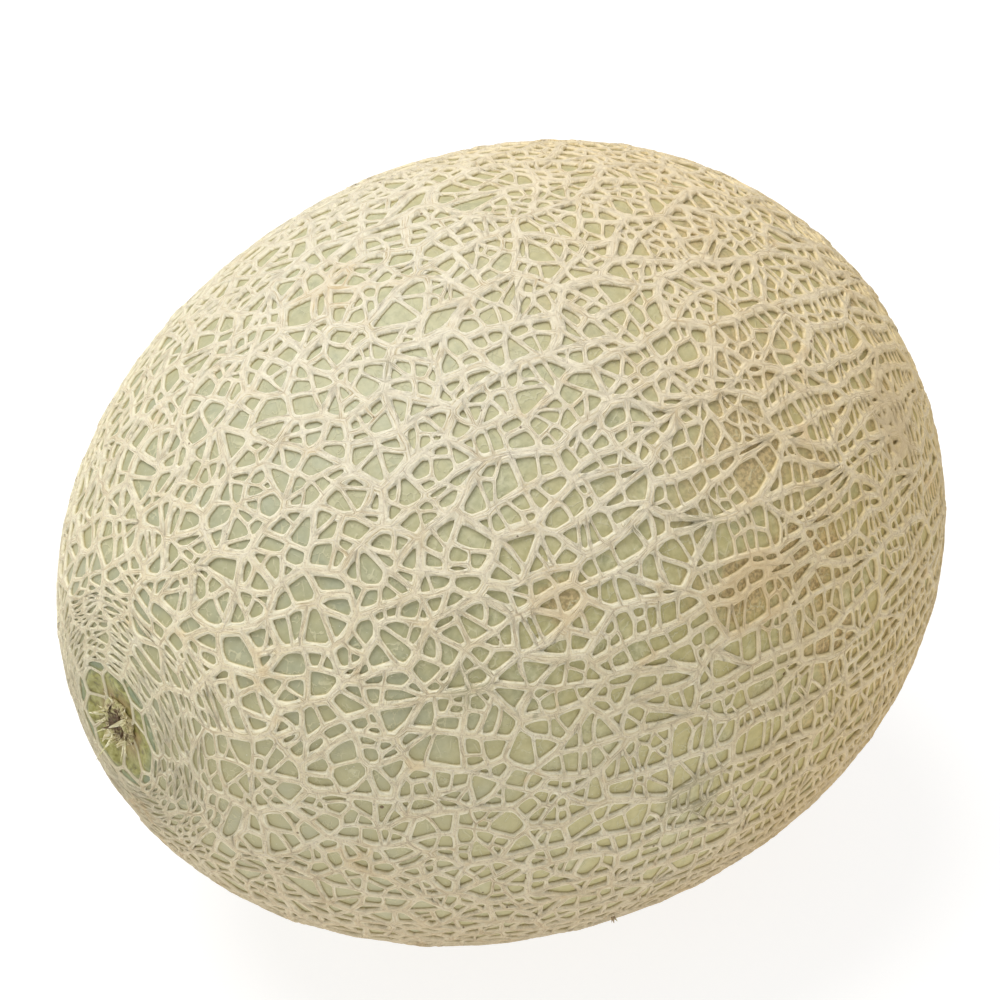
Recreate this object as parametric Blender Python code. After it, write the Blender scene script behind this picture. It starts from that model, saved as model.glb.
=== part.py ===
"""A netted cantaloupe melon, lying on its side on a small flat spot.

Metres, +Z up. The long axis runs along X, with the stem end at -X and the
blossom end at +X. The origin is at the middle of the bottom of the whole
melon's box, on the rest spot. The melon is two pieces: the fruit, which grew
as one body, and the torn remnant of its stalk in the middle of the scar.
"""

import math

import bmesh
import bpy
from mathutils import Matrix, Vector

# Driving dimensions of the fruit.
BODY_LENGTH = 0.1795
BODY_RADIUS = 0.0750
REST_SPOT_DEPTH = 0.0015
FULL_SHOULDER = 0.0108
SQUARE_SHOULDER = 0.0032

# The scar at the stem end, a shallow round dish with a raised lip.
SCAR_RADIUS = 0.0118
SCAR_DEPTH = 0.0014
SCAR_LIP_WIDTH = 0.0035
SCAR_LIP_HEIGHT = 0.0004
SCAR_FLOOR_RADIUS = 0.0052

# The small dry nub at the blossom end, flush in a shallow dimple.
DIMPLE_RADIUS = 0.0060
DIMPLE_DEPTH = 0.0006

# The torn remnant of the stalk, a ragged crown round a dark hollow.
STUB_GAP = 0.0003
STUB_FOOT_RADIUS = 0.0046
STUB_TOP_RADIUS = 0.0038
STUB_WALL = 0.0019
STUB_LOW = 0.0012
STUB_HIGH = 0.0029
STUB_FLOOR = 0.0006
STUB_SIDES = 20
STUB_LEAN = 0.0007

# How finely the round shapes are cut.
RINGS = 38
SIDES = 56


def outline_point(turn):
    """A point (x, radius) of the fruit's side, from the blossom end at 0 to the stem end at pi."""
    swell = 1.0 - FULL_SHOULDER * math.cos(3 * turn) - SQUARE_SHOULDER * math.cos(4 * turn)
    return (
        0.5 * BODY_LENGTH * math.cos(turn) * swell,
        BODY_RADIUS * math.sin(turn) * swell,
    )


def smooth_step(low, high, value):
    """0 below low, 1 above high, and a smooth rise between them."""
    share = min(max((value - low) / (high - low), 0.0), 1.0)
    return share * share * (3.0 - 2.0 * share)


def end_relief(turn, radius):
    """How far the skin stands proud of the plain outline near either end, negative where it sinks."""
    if turn < 0.5 * math.pi:
        return -DIMPLE_DEPTH * (1.0 - smooth_step(0.0, DIMPLE_RADIUS, radius))
    sunk = SCAR_DEPTH * (1.0 - smooth_step(SCAR_FLOOR_RADIUS, SCAR_RADIUS, radius))
    from_lip = (radius - SCAR_RADIUS - 0.5 * SCAR_LIP_WIDTH) / SCAR_LIP_WIDTH
    return SCAR_LIP_HEIGHT * math.exp(-4.0 * from_lip * from_lip) - sunk


def plain_material(name, colour, roughness):
    material = bpy.data.materials.new(name)
    material.use_nodes = True
    shader = material.node_tree.nodes["Principled BSDF"]
    shader.inputs["Base Color"].default_value = (*colour, 1.0)
    shader.inputs["Roughness"].default_value = roughness
    shader.inputs["Metallic"].default_value = 0.0
    return material


def new_object(name, shape, material):
    bmesh.ops.recalc_face_normals(shape, faces=shape.faces)
    mesh = bpy.data.meshes.new(name)
    shape.to_mesh(mesh)
    shape.free()
    mesh.materials.append(material)
    mesh.shade_smooth()
    mesh.set_sharp_from_angle(angle=math.radians(50))
    piece = bpy.data.objects.new(name, mesh)
    bpy.context.scene.collection.objects.link(piece)
    return piece


def spun_body(outline, sides):
    """Turns an outline of (x, radius) points, which starts and ends on the X axis, all the way round it."""
    shape = bmesh.new()
    points = [shape.verts.new((x, 0.0, radius)) for x, radius in outline]
    edges = [shape.edges.new(pair) for pair in zip(points, points[1:])]
    bmesh.ops.spin(
        shape,
        geom=points + edges,
        cent=(0.0, 0.0, 0.0),
        axis=(1.0, 0.0, 0.0),
        angle=2.0 * math.pi,
        steps=sides,
        use_merge=True,
    )
    bmesh.ops.remove_doubles(shape, verts=shape.verts, dist=1e-6)
    return shape


def fruit_outline():
    """The side outline, with rings set closer together at the scar, where the shape is finest."""
    outline = []
    for ring in range(RINGS + 1):
        even = ring / RINGS
        turn = math.pi * (even + 0.12 * math.sin(math.pi * even) * even)
        turn = min(turn, math.pi)
        x, radius = outline_point(turn)
        way = 1.0 if x > 0.0 else -1.0
        x += way * end_relief(turn, radius)
        outline.append((x, 0.0 if ring in (0, RINGS) else radius))
    return outline


def make_fruit():
    """The fruit: the outline turned round, with a flat spot cut where it rests."""
    shape = spun_body(fruit_outline(), SIDES)
    lowest = min(vertex.co.z for vertex in shape.verts)
    cut = bmesh.ops.bisect_plane(
        shape,
        geom=shape.verts[:] + shape.edges[:] + shape.faces[:],
        dist=1e-6,
        plane_co=(0.0, 0.0, lowest + REST_SPOT_DEPTH),
        plane_no=(0.0, 0.0, -1.0),
        clear_outer=True,
    )
    rim = [item for item in cut["geom_cut"] if isinstance(item, bmesh.types.BMEdge)]
    bmesh.ops.contextual_create(shape, geom=rim)
    return new_object("fruit", shape, plain_material("netted_rind", (0.56, 0.54, 0.36), 0.75))


def make_stem_remnant(scar_floor_x):
    """The torn stalk: a short tube with a ragged rim, open outwards, standing on the scar's floor."""
    profile = (
        (0.0, 0.0),
        (STUB_FOOT_RADIUS, 0.0),
        (STUB_FOOT_RADIUS, 0.3 * STUB_LOW),
        (STUB_TOP_RADIUS, STUB_LOW),
        (STUB_TOP_RADIUS - 0.35 * STUB_WALL, STUB_HIGH),
        (STUB_TOP_RADIUS - 0.65 * STUB_WALL, STUB_HIGH),
        (STUB_TOP_RADIUS - STUB_WALL, STUB_LOW),
        (STUB_TOP_RADIUS - STUB_WALL, STUB_FLOOR),
        (0.0, STUB_FLOOR),
    )
    shape = spun_body([(-height, radius) for radius, height in profile], STUB_SIDES)
    for vertex in shape.verts:
        height = -vertex.co.x
        if height < STUB_LOW + 1e-5:
            continue
        around = math.atan2(vertex.co.y, vertex.co.z)
        tear = 0.5 + 0.3 * math.cos(3 * around + 0.7) + 0.2 * math.cos(7 * around)
        top = STUB_LOW + (STUB_HIGH - STUB_LOW) * min(max(tear, 0.08), 1.0)
        outwards = Vector((0.0, vertex.co.y, vertex.co.z)).normalized()
        vertex.co.x = -top
        vertex.co += outwards * STUB_LEAN * tear
    foot = scar_floor_x - STUB_GAP
    bmesh.ops.translate(shape, vec=Vector((foot, 0.0, 0.0)), verts=shape.verts)
    return new_object("stem_remnant", shape, plain_material("stalk_fibre", (0.62, 0.56, 0.30), 0.85))


def stand_on_origin(pieces):
    """Moves the pieces together so that the bottom middle of their common box is the origin."""
    corners = [vertex.co for piece in pieces for vertex in piece.data.vertices]
    low = Vector([min(corner[axis] for corner in corners) for axis in range(3)])
    high = Vector([max(corner[axis] for corner in corners) for axis in range(3)])
    middle = 0.5 * (low + high)
    shift = Matrix.Translation((-middle.x, -middle.y, -low.z))
    for piece in pieces:
        piece.data.transform(shift)
    print("whole melon, mm:", [round(1000.0 * side, 2) for side in high - low])


for leftover in list(bpy.data.objects):
    bpy.data.objects.remove(leftover)

fruit = make_fruit()
scar_floor = min(
    vertex.co.x for vertex in fruit.data.vertices if math.hypot(vertex.co.y, vertex.co.z) < STUB_FOOT_RADIUS
)
stem_remnant = make_stem_remnant(scar_floor)
stand_on_origin([fruit, stem_remnant])
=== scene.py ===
# %% [markdown]
# # A netted cantaloupe melon
#
# This lesson dresses a plain melon solid as a real cantaloupe. On the real fruit the smooth green skin
# stops growing before the flesh does, so it cracks, and every crack heals over with a raised line of
# pale cork. First come a few long cracks, then shorter ones across the gaps, until the whole skin lies
# under a net. The net is built here in the same order: large cells first, then cells split again and
# again, with each younger line thinner than the one it starts from.

# %% Load the fixed frame
import math
import random

import bmesh
import bpy
import numpy as np
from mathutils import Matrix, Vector, noise


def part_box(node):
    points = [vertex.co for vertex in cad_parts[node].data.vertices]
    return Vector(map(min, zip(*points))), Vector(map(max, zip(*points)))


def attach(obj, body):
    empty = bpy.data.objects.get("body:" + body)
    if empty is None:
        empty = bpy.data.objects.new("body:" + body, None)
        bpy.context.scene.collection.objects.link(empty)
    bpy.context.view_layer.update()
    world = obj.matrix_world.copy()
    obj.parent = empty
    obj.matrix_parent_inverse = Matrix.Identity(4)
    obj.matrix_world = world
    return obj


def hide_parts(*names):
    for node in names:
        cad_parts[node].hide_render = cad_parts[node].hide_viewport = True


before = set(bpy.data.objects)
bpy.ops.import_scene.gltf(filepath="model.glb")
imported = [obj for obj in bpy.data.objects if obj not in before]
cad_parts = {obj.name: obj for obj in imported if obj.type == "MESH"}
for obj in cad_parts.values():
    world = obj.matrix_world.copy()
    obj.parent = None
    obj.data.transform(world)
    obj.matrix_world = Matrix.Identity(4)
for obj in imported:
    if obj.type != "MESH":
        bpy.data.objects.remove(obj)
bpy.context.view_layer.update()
fruit_low, fruit_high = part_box("fruit")
stub_low, stub_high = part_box("stem_remnant")
print("nodes in the frame:", sorted(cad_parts))

# %% [markdown]
# ## A fixed seed
#
# Vector noise draws its offsets from a seed, and that seed is the clock until it is set. With a seed of
# its own, the melon grows the same way on every run.

# %% Seed the noise
NOISE_SEED = 3

noise.seed_set(NOISE_SEED)

# %% [markdown]
# ## The melon's side, as a formula
#
# The body is a turned shape, so one side outline describes all of it. It could be a spline drawn by
# hand, but a real melon is so close to an ellipse that an ellipse with two small cosine terms fits it:
# one gives the blossom end its full shoulders, the other squares it very slightly. Every later piece
# asks this formula where the skin is, so that all of them agree.

# %% The outline, and the relief at its two ends
MM = 0.001
HALF_LENGTH = 89.75 * MM
BODY_RADIUS = 75.0 * MM
FULL_SHOULDER = 0.0108
SQUARE_SHOULDER = 0.0032
SCAR_RADIUS = 11.8 * MM
SCAR_DEPTH = 1.4 * MM
SCAR_FLOOR_RADIUS = 5.2 * MM
SCAR_LIP_WIDTH = 3.5 * MM
SCAR_LIP_HEIGHT = 0.4 * MM
DIMPLE_RADIUS = 6.0 * MM
DIMPLE_DEPTH = 0.6 * MM


def outline(turn):
    """Distance along the axis and from it, for a turn of 0 at the blossom end to pi at the stalk."""
    swell = 1.0 - FULL_SHOULDER * np.cos(3 * turn) - SQUARE_SHOULDER * np.cos(4 * turn)
    return HALF_LENGTH * np.cos(turn) * swell, BODY_RADIUS * np.sin(turn) * swell


def smooth_step(low, high, value):
    share = np.clip((value - low) / (high - low), 0.0, 1.0)
    return share * share * (3.0 - 2.0 * share)


def end_relief(turn, radius):
    """How far the skin stands proud near the scar's lip, or sinks in the scar and the blossom dimple."""
    sunk = SCAR_DEPTH * (1.0 - smooth_step(SCAR_FLOOR_RADIUS, SCAR_RADIUS, radius))
    from_lip = (radius - SCAR_RADIUS - 0.5 * SCAR_LIP_WIDTH) / SCAR_LIP_WIDTH
    at_stalk = SCAR_LIP_HEIGHT * np.exp(-4.0 * from_lip * from_lip) - sunk
    at_blossom = -DIMPLE_DEPTH * (1.0 - smooth_step(0.0, DIMPLE_RADIUS, radius))
    return np.where(turn < 0.5 * math.pi, at_blossom, at_stalk)


fine_turns = np.linspace(0.0, math.pi, 4001)
fine_x, fine_radius = outline(fine_turns)
proud_x = fine_x + np.sign(fine_x) * end_relief(fine_turns, fine_radius)
BODY_MIDDLE = Vector((fruit_high.x - proud_x.max(), 0.0, fruit_high.z - fine_radius.max()))
print("middle of the body, mm:", [round(c / MM, 2) for c in BODY_MIDDLE])

# %% [markdown]
# ## Laying points on the skin
#
# Everything on the melon is drawn near the skin first and then laid on it at an exact height. The body
# is a stretched ball, so a point's place round the ball and along it can be read from its direction,
# and the outline then says where the skin is in that direction. The melon rests on a small flat spot,
# so nothing may reach lower than the table.

# %% From any point to the skin
SKIN_LEVEL = -0.35 * MM
TABLE_LEVEL = -BODY_MIDDLE.z


def turn_and_round(points):
    """Where points lie on the body: the turn along it, and the angle round it from the top."""
    away = np.hypot(points[:, 1], points[:, 2])
    turn = np.arctan2(away / BODY_RADIUS, points[:, 0] / HALF_LENGTH)
    return turn, np.arctan2(points[:, 1], points[:, 2])


def on_body(turn, around, height):
    """Points over the body's middle, a height above the CAD solid's side in the direction of its normal."""
    step = 1e-4
    x, radius = outline(turn)
    after_x, after_radius = outline(turn + step)
    before_x, before_radius = outline(turn - step)
    out_x = after_radius - before_radius
    out_radius = before_x - after_x
    size = np.hypot(out_x, out_radius)
    height = height + end_relief(turn, np.abs(radius))
    x = x + height * out_x / size
    radius = radius + height * out_radius / size
    return np.stack([x, radius * np.sin(around), radius * np.cos(around)], axis=1)


def lay_on_body(points, height):
    turn, around = turn_and_round(points)
    return on_body(turn, around, height)


# %% [markdown]
# ## The first cells of the net
#
# Young cracks leave cells of about a fingertip's width. A common way to get such cells is to scatter
# seeds that keep their distance, join neighbouring seeds into triangles, and then draw a cell round
# each seed. The triangles come from the seeds' hull, because the melon is round. Each triangle gets its
# middle point, each old edge is turned to join two middles, and the seeds are dissolved: what is left
# is the cell round each seed. Towards the blossom end the net follows the melon lengthwise, so that
# half is drawn squashed before the seeds are joined, and comes out with long cells.

# %% Scatter the seeds
SEED_SPACING = 12.0 * MM
LONG_CELLS = 0.40
LONG_ZONE = (-55.0 * MM, 5.0 * MM)
SEED_TRIES = 20000
SCAR_SPOKES = 7
SCAR_SPOKE_RING = 8.0 * MM
AROUND_SCAR_SEEDS = 11
AROUND_SCAR_RING = 15.4 * MM

seed_random = random.Random(11)
along_body = np.linspace(-HALF_LENGTH * 1.02, HALF_LENGTH * 1.02, 801)
squash_rate = 1.0 + (LONG_CELLS - 1.0) * smooth_step(LONG_ZONE[0], LONG_ZONE[1], along_body)
squashed_along = np.cumsum(squash_rate) * (along_body[1] - along_body[0])
squashed_along -= squashed_along[400]


def squash(point):
    return Vector((float(np.interp(point.x, along_body, squashed_along)), point.y, point.z))


def unsquash(point):
    return Vector((float(np.interp(point.x, squashed_along, along_body)), point.y, point.z))


def skin_point(turn, around):
    return Vector(on_body(np.array([turn]), np.array([around]), np.array([0.0]))[0])


def pole_turn(distance):
    """The turn at a distance from the stalk's axis."""
    return math.pi - math.asin(distance / BODY_RADIUS)


arc_steps = np.hypot(np.diff(fine_x), np.diff(fine_radius)) * (fine_radius[1:] + fine_radius[:-1])
area_share = np.concatenate([[0.0], np.cumsum(arc_steps)]) / arc_steps.sum()
seeds = [skin_point(math.pi - 1e-4, 0.0)]
for count, ring in ((SCAR_SPOKES, SCAR_SPOKE_RING), (AROUND_SCAR_SEEDS, AROUND_SCAR_RING)):
    for spoke in range(count):
        around = 2.0 * math.pi * (spoke + seed_random.uniform(-0.2, 0.2)) / count
        seeds.append(skin_point(pole_turn(ring), around))
kept = np.array([squash(seed) for seed in seeds])
for _ in range(SEED_TRIES):
    turn = float(np.interp(seed_random.random(), area_share, fine_turns))
    candidate = skin_point(turn, seed_random.uniform(-math.pi, math.pi))
    spacing = SEED_SPACING * seed_random.uniform(0.78, 1.12)
    if candidate.x < 0.0 and math.hypot(candidate.y, candidate.z) < AROUND_SCAR_RING + 0.5 * SEED_SPACING:
        continue
    place = np.array(squash(candidate))
    if ((kept - place) ** 2).sum(axis=1).min() > spacing * spacing:
        kept = np.vstack([kept, place])
print("seeds:", len(kept))

# %% Turn the seeds' hull into cells
net = bmesh.new()
seed_verts = [net.verts.new(place) for place in kept]
bmesh.ops.convex_hull(net, input=seed_verts)
old_edges = net.edges[:]
bmesh.ops.poke(net, faces=net.faces[:])
bmesh.ops.rotate_edges(net, edges=old_edges, use_ccw=False)
bmesh.ops.dissolve_verts(net, verts=seed_verts)
for vertex in net.verts:
    vertex.co = unsquash(vertex.co)
print("first cells:", len(net.faces), "corners:", len(net.verts))

# %% [markdown]
# ## Younger cracks across the cells
#
# A gap that is still too wide cracks again, straight across its longest way, and the new crack ends
# against the older ones. That is why most corners of a real net look like a T. A knife cut through
# every cell would do it, but cutting one cell at a time lets each cut choose its own place and
# direction. Cells stay largest by the stalk, and smallest in the crowded rings round the scar.

# %% How large a cell may stay
CELL_AREA_STALK = 24.0 * MM * MM
CELL_AREA_BLOSSOM = 15.0 * MM * MM
CELL_AREA_RINGS = 9.6 * MM * MM
SMALLER_CELLS_ZONE = (-25.0 * MM, 35.0 * MM)
RING_ZONE = (19.0 * MM, 34.0 * MM)


def off_axis(point):
    return math.hypot(point.y, point.z)


def ring_share(point):
    """1 beside the scar, where cracks run round it, and 0 on the open side of the melon."""
    if point.x > 0.0:
        return 0.0
    return 1.0 - float(smooth_step(*RING_ZONE, off_axis(point)))


def wanted_area(point):
    towards_blossom = float(smooth_step(*SMALLER_CELLS_ZONE, point.x))
    area = CELL_AREA_STALK + (CELL_AREA_BLOSSOM - CELL_AREA_STALK) * towards_blossom
    return area + (CELL_AREA_RINGS - area) * ring_share(point)


# %% [markdown]
# The net isn't the same in every direction. Before a cell's longest way is measured, it is stretched:
# close to the scar so that the cuts run in rings round it, and towards the blossom so that the oldest
# cuts run along the melon and the younger ones cross them like the rungs of a ladder. On top of the
# melon the ladders fade out.

# %% Stretch a cell before it is measured
RING_STRETCH = 3.7
LONG_STRETCH = 2.8
LENGTHWISE_AGES = 1
RUNG_STRETCH = 1.45
TOP_ZONE = (44.0 * MM, 64.0 * MM)
LESS_LONG_ON_TOP = 0.80

age_layer = net.edges.layers.int.new("age")
cell_age = net.faces.layers.int.new("cell_age")


def long_way_at(point):
    """The direction along the melon, flat on the skin."""
    outward = Vector((point.x / HALF_LENGTH**2, point.y / BODY_RADIUS**2, point.z / BODY_RADIUS**2))
    return outward.cross(Vector((0.0, point.z, -point.y))).normalized()


def stretched_corners(cell, centre):
    """The cell's corners in its own plane, stretched as its place on the melon asks."""
    round_way = Vector((0.0, centre.z, -centre.y)).normalized()
    long_way = long_way_at(centre)
    rings = ring_share(centre)
    lengthwise = float(smooth_step(*LONG_ZONE, centre.x))
    lengthwise *= 1.0 - LESS_LONG_ON_TOP * float(smooth_step(*TOP_ZONE, centre.z))
    young = cell[cell_age] > LENGTHWISE_AGES
    long_scale = 1.0 + (RING_STRETCH - 1.0) * rings + (RUNG_STRETCH - 1.0) * lengthwise * young
    round_scale = 1.0 + (LONG_STRETCH - 1.0) * lengthwise * (not young)
    return [
        Vector(((v.co - centre).dot(long_way) * long_scale, (v.co - centre).dot(round_way) * round_scale))
        for v in cell.verts
    ]


# %% [markdown]
# A new crack is a knife cut between two edges of the cell. Where it would end very close to an old
# corner it runs into it; otherwise the edge is split at a clear distance from its corners, so that no
# sliver is left. Both halves of a split edge keep its age.

# %% Where a new crack ends
JOIN_REACH = 0.34 * MM
CLEAR_OF_CORNER = 1.05 * MM


def near_corner(edge, vertex, share):
    """The corner that a new crack may run into: one close to where the crack would end, if it has room."""
    length = edge.calc_length()
    close = vertex if share < 0.5 else edge.other_vert(vertex)
    if min(share, 1.0 - share) * length < JOIN_REACH and len(close.link_edges) < 4:
        return close
    return None


def new_corner(edge, vertex, share):
    """Splits an edge where a new crack ends on it, a little way off its corners."""
    least = min(0.5, CLEAR_OF_CORNER / edge.calc_length())
    age = edge[age_layer]
    new_edge, corner = bmesh.utils.edge_split(edge, vertex, min(max(share, least), 1.0 - least))
    new_edge[age_layer] = age
    edge[age_layer] = age
    return corner


# %% [markdown]
# The longest way of a cell is the main axis of its outline: the sides are weighed by their length, and
# the spread of the weights gives the angle. A little luck leans it and shifts the cut off the middle.

# %% Cut one cell
MOST_LEAN = 0.15
MOST_SHIFT = 0.11

split_random = random.Random(23)


def longest_way(corners):
    """The outline's middle and its longest direction."""
    sides = [(0.5 * (a + b), (b - a).length) for a, b in zip(corners, corners[1:] + corners[:1])]
    middle = sum((place * length for place, length in sides), Vector((0.0, 0.0))) / sum(s[1] for s in sides)
    spread_x = sum(length * (place.x - middle.x) ** 2 for place, length in sides)
    spread_y = sum(length * (place.y - middle.y) ** 2 for place, length in sides)
    slant = sum(length * (place.x - middle.x) * (place.y - middle.y) for place, length in sides)
    lean = 0.5 * math.atan2(2.0 * slant, spread_x - spread_y) + split_random.uniform(-MOST_LEAN, MOST_LEAN)
    return middle, Vector((math.cos(lean), math.sin(lean)))


def crack_ends(cell, crossings):
    """The two corners of the cell that a crack will join, made where there is none close by."""
    ends = [near_corner(edge, vertex, share) for edge, vertex, share in crossings]
    same_side = ends[0] and ends[1] and any(ends[0] in e.verts and ends[1] in e.verts for e in cell.edges)
    if ends[0] is ends[1] or same_side:
        ends = [None, None]
    for i, (edge, vertex, share) in enumerate(crossings):
        if ends[i] and ends[1 - i] is None and ends[i] in crossings[1 - i][0].verts:
            ends[i] = None
        if ends[i] is None:
            ends[i] = new_corner(edge, vertex, share)
    return ends


def cut_cell(cell):
    """Cuts one cell in two across its longest way, and returns the halves, or nothing if it won't cut."""
    corners = stretched_corners(cell, cell.calc_center_median())
    middle, long_way = longest_way(corners)
    reach = [(c - middle).dot(long_way) for c in corners]
    shift = split_random.uniform(-MOST_SHIFT, MOST_SHIFT) * (max(reach) - min(reach))
    reach = [value - shift for value in reach]
    crossings = [
        (loop.edge, loop.vert, here / (here - there))
        for loop, here, there in zip(cell.loops, reach, reach[1:] + reach[:1])
        if here * there < 0.0
    ]
    if len(crossings) != 2:
        return []
    ends = crack_ends(cell, crossings)
    born = cell[cell_age] + 1
    other, loop = bmesh.utils.face_split(cell, ends[0], ends[1])
    crack = next(e for e in ends[0].link_edges if e.other_vert(ends[0]) is ends[1])
    crack[age_layer] = born
    cell[cell_age] = born
    other[cell_age] = born
    return [cell, other]


# %% Split the cells
SCAR_CELL_REACH = 12.6 * MM
CELL_UNEVENNESS = 0.33
DEEPEST_SPLIT = 9

waiting = net.faces[:]
while waiting:
    cell = waiting.pop()
    centre = cell.calc_center_median()
    if centre.x < 0.0 and off_axis(centre) < SCAR_CELL_REACH:
        continue
    limit = wanted_area(centre) * math.exp(CELL_UNEVENNESS * split_random.gauss(0.0, 1.0))
    if cell.calc_area() > limit and cell[cell_age] < DEEPEST_SPLIT:
        waiting.extend(cut_cell(cell))
print("cells:", len(net.faces), "strands:", len(net.edges))

# %% [markdown]
# ## Strand widths
#
# The oldest cracks had the longest time to grow, so their cork is widest. A strand's width follows its
# age, its place and direction, a slow change over the melon and a little luck. Strands on top are a
# little wider. Lengthwise ones are wider than the rungs, and the strands close to the scar are thin,
# above all those that run away from it like spokes.

# %% A width for every strand
HALF_WIDTH_BY_AGE = (1.02, 0.88, 0.71, 0.58, 0.50, 0.46, 0.43, 0.41, 0.40, 0.40)
RUNG_THINNING = 0.16
LONG_THICKENING = 0.16
RING_THINNING = 0.30
SPOKE_THINNING = 0.40
WIDTH_WAVE = 0.26
WIDTH_WAVE_SIZE = 14.0 * MM
WIDTH_LUCK = 0.22
TOP_THICKENING = 0.16
SCAR_HALF_WIDTH = 0.42

width_random = random.Random(5)
width_layer = net.edges.layers.float.new("half_width")
net.edges.ensure_lookup_table()
for strand in net.edges:
    middle = 0.5 * (strand.verts[0].co + strand.verts[1].co)
    wave = 1.0 + WIDTH_WAVE * noise.noise(middle / WIDTH_WAVE_SIZE)
    luck = 1.0 + WIDTH_LUCK * width_random.uniform(-1.0, 1.0)
    half_width = HALF_WIDTH_BY_AGE[strand[age_layer]] * wave * luck
    run = (strand.verts[1].co - strand.verts[0].co).normalized().dot(long_way_at(middle)) ** 2
    rings = ring_share(middle)
    half_width *= 1.0 + TOP_THICKENING * float(smooth_step(*TOP_ZONE, middle.z))
    half_width *= 1.0 - rings * (RING_THINNING + SPOKE_THINNING * run)
    half_width *= 1.0 + (1.0 - rings) * ((RUNG_THINNING + LONG_THICKENING) * run - RUNG_THINNING)
    if middle.x < 0.0 and off_axis(middle) < SCAR_RADIUS:
        half_width = SCAR_HALF_WIDTH * luck
    strand[width_layer] = half_width * MM
print("half widths set:", len(net.edges))

# %% [markdown]
# ## The wander of a healing crack
#
# A crack is never quite straight. Every strand is divided into short lengths, a wide and a fine noise
# push them about, and then they are relaxed: each point moves towards its neighbours, and a wide strand
# pulls harder than a thin one. So wide strands stay straight where a thin one joins them, and equal
# strands meet like a Y.

# %% Divide, sway and relax
STRAND_STEP = 0.85 * MM
SWAY = 1.9 * MM
SWAY_SIZE = 10.0 * MM
WANDER = 1.0 * MM
WANDER_SIZE = 3.4 * MM
RELAX_ROUNDS = 5
RELAX_SHARE = 0.5

by_cuts = {}
for strand in net.edges:
    cuts = max(1, round(strand.calc_length() / STRAND_STEP)) - 1
    by_cuts.setdefault(cuts, []).append(strand)
for cuts, strands in sorted(by_cuts.items()):
    if cuts:
        bmesh.ops.bisect_edges(net, edges=strands, cuts=cuts)

net.verts.index_update()
points = np.array([v.co for v in net.verts])
pairs = np.array([[e.verts[0].index, e.verts[1].index] for e in net.edges])
segment_width = np.array([e[width_layer] for e in net.edges])
pull = segment_width**2
stray = WANDER * np.array([noise.noise_vector(Vector(p) / WANDER_SIZE) for p in points])
stray += SWAY * np.array([noise.noise_vector(Vector(p) / SWAY_SIZE) for p in points])
calm = np.clip((np.hypot(points[:, 1], points[:, 2]) - SCAR_RADIUS) / SCAR_RADIUS, 0.0, 1.0)
calm = np.where(points[:, 0] < 0.0, calm, 1.0)
points += stray * calm[:, None]
total_pull = np.zeros(len(points))
for end in (0, 1):
    np.add.at(total_pull, pairs[:, end], pull)
for _ in range(RELAX_ROUNDS):
    pulled = np.zeros_like(points)
    np.add.at(pulled, pairs[:, 0], pull[:, None] * points[pairs[:, 1]])
    np.add.at(pulled, pairs[:, 1], pull[:, None] * points[pairs[:, 0]])
    points += RELAX_SHARE * (pulled / total_pull[:, None] - points)
points = lay_on_body(points, np.zeros(len(points)))
for vertex, place in zip(net.verts, points):
    vertex.co = place
usual_widths = np.percentile(2.0 * segment_width / MM, (5, 50, 95))
print("points on the net:", len(points), "strand widths, mm:", np.round(usual_widths, 2))

# %% [markdown]
# ## Where each cell's bare skin starts
#
# A strand lies half in one cell and half in the next, and the bare skin starts at its foot. The foot
# line of a cell is its outline moved inwards by each strand's half width. A plain inset moves every
# side alike and tangles in narrow cells, so the foot is found along the rays from the cell's middle:
# on each ray, the last point that keeps its distance from every side. That can't cross itself. Then
# the corners are eased, because cork webs over them.

# %% The foot line of every cell
MOST_FILLED = 0.71
CLOSED_PLACE = Vector((56.6, -46.6, 34.9)) * MM
CLOSED_REACH = 8.0 * MM
CLOSED_WIDENING = 1.6
CORNER_EASE_ROUNDS = 1
CORNER_EASE = 0.30

net.faces.index_update()
net.verts.index_update()
cell_id = net.faces.layers.int.new("cell_id")
point_id = net.verts.layers.int.new("point_id")
for vertex in net.verts:
    vertex[point_id] = vertex.index
for cell in net.faces:
    cell[cell_id] = cell.index


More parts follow.
